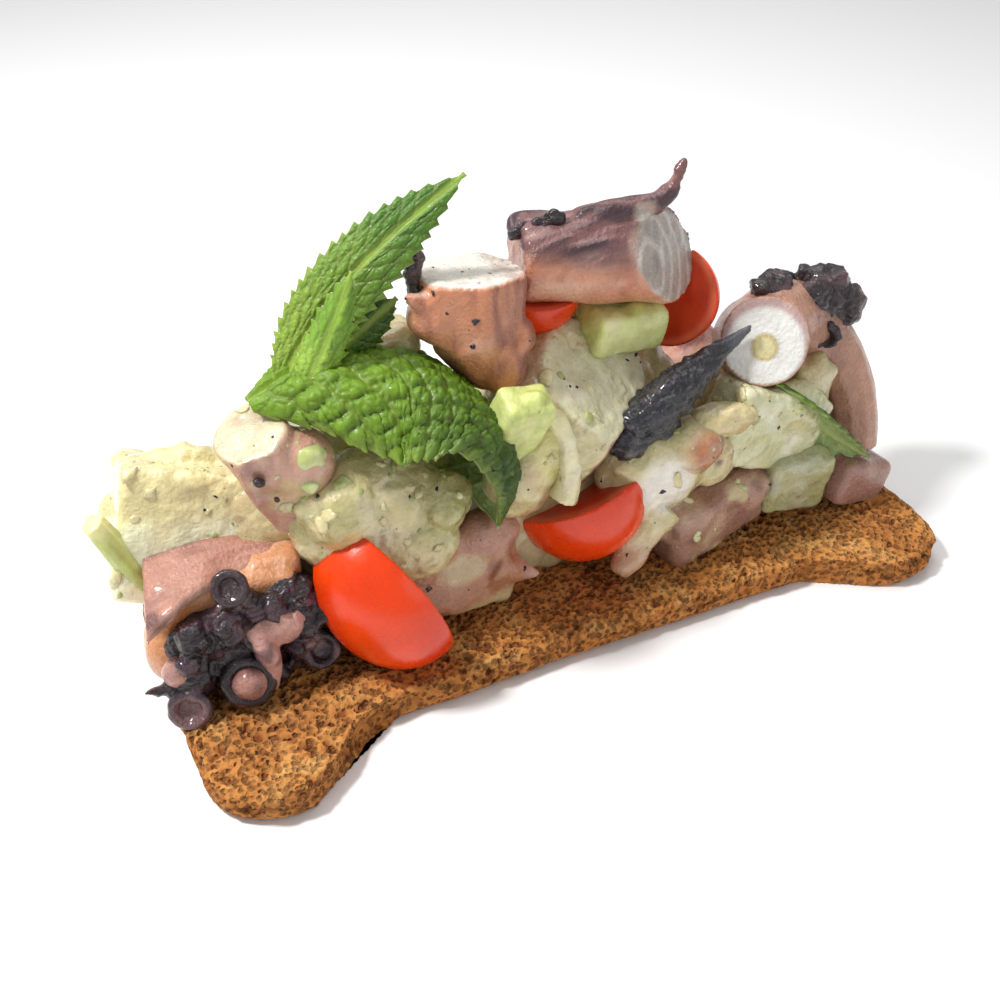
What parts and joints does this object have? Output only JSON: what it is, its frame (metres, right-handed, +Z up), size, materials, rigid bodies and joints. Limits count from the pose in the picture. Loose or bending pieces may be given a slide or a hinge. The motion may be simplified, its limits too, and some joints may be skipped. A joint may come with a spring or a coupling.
{
  "type": "octopus salad toast",
  "caption": "Open sandwich: chunks of cooked octopus tentacle with dressed potato, celery, tomato wedges and mint leaves, heaped on a thin slice of toast.",
  "frame": {"origin": "centre of the toast's flat underside", "axes": "+X along the toast's length, to the right when the octopus side is seen from the front; -Y to the front; +Z up, through the heap"},
  "size_m": [0.1254, 0.0627, 0.0694],
  "materials": {
    "toast": "toasted, porous, dry",
    "octopus_pink": "cooked skin, moist and glossy",
    "octopus_dark": "dark cooked skin, wet",
    "octopus_white": "cut flesh, moist",
    "dressed_salad": "coated with a thin creamy dressing",
    "tomato": "smooth wet skin with a moist cut face",
    "mint": "quilted leaf with a faint sheen",
    "celery": "moist, half clear",
    "onion": "moist, half clear"
  },
  "bodies": {
    "root": {"celery_left": "celery", "celery_middle": "celery", "celery_right": "celery", "celery_right_low": "celery", "celery_top": "celery", "dressed_salad": "dressed_salad", "mint_leaf_large": "mint", "mint_leaf_right": "mint", "mint_leaf_small": "mint", "mint_leaf_upright": "mint", "octopus_back": "octopus_dark", "octopus_curl": "octopus_pink", "octopus_dark_tip": "octopus_dark", "octopus_dressed_left": "octopus_white", "octopus_front": "octopus_pink", "octopus_left": "octopus_pink", "octopus_middle": "octopus_white", "octopus_right_end": "octopus_pink", "octopus_right_front": "octopus_white", "octopus_right_low": "octopus_pink", "octopus_top": "octopus_white", "onion_strip": "onion", "potato_back_left": "onion", "potato_left": "dressed_salad", "potato_middle": "dressed_salad", "potato_right": "dressed_salad", "toast": "toast", "tomato_back": "tomato", "tomato_back_right": "tomato", "tomato_front_left": "tomato", "tomato_front_right": "tomato"}
  },
  "joints": []
}
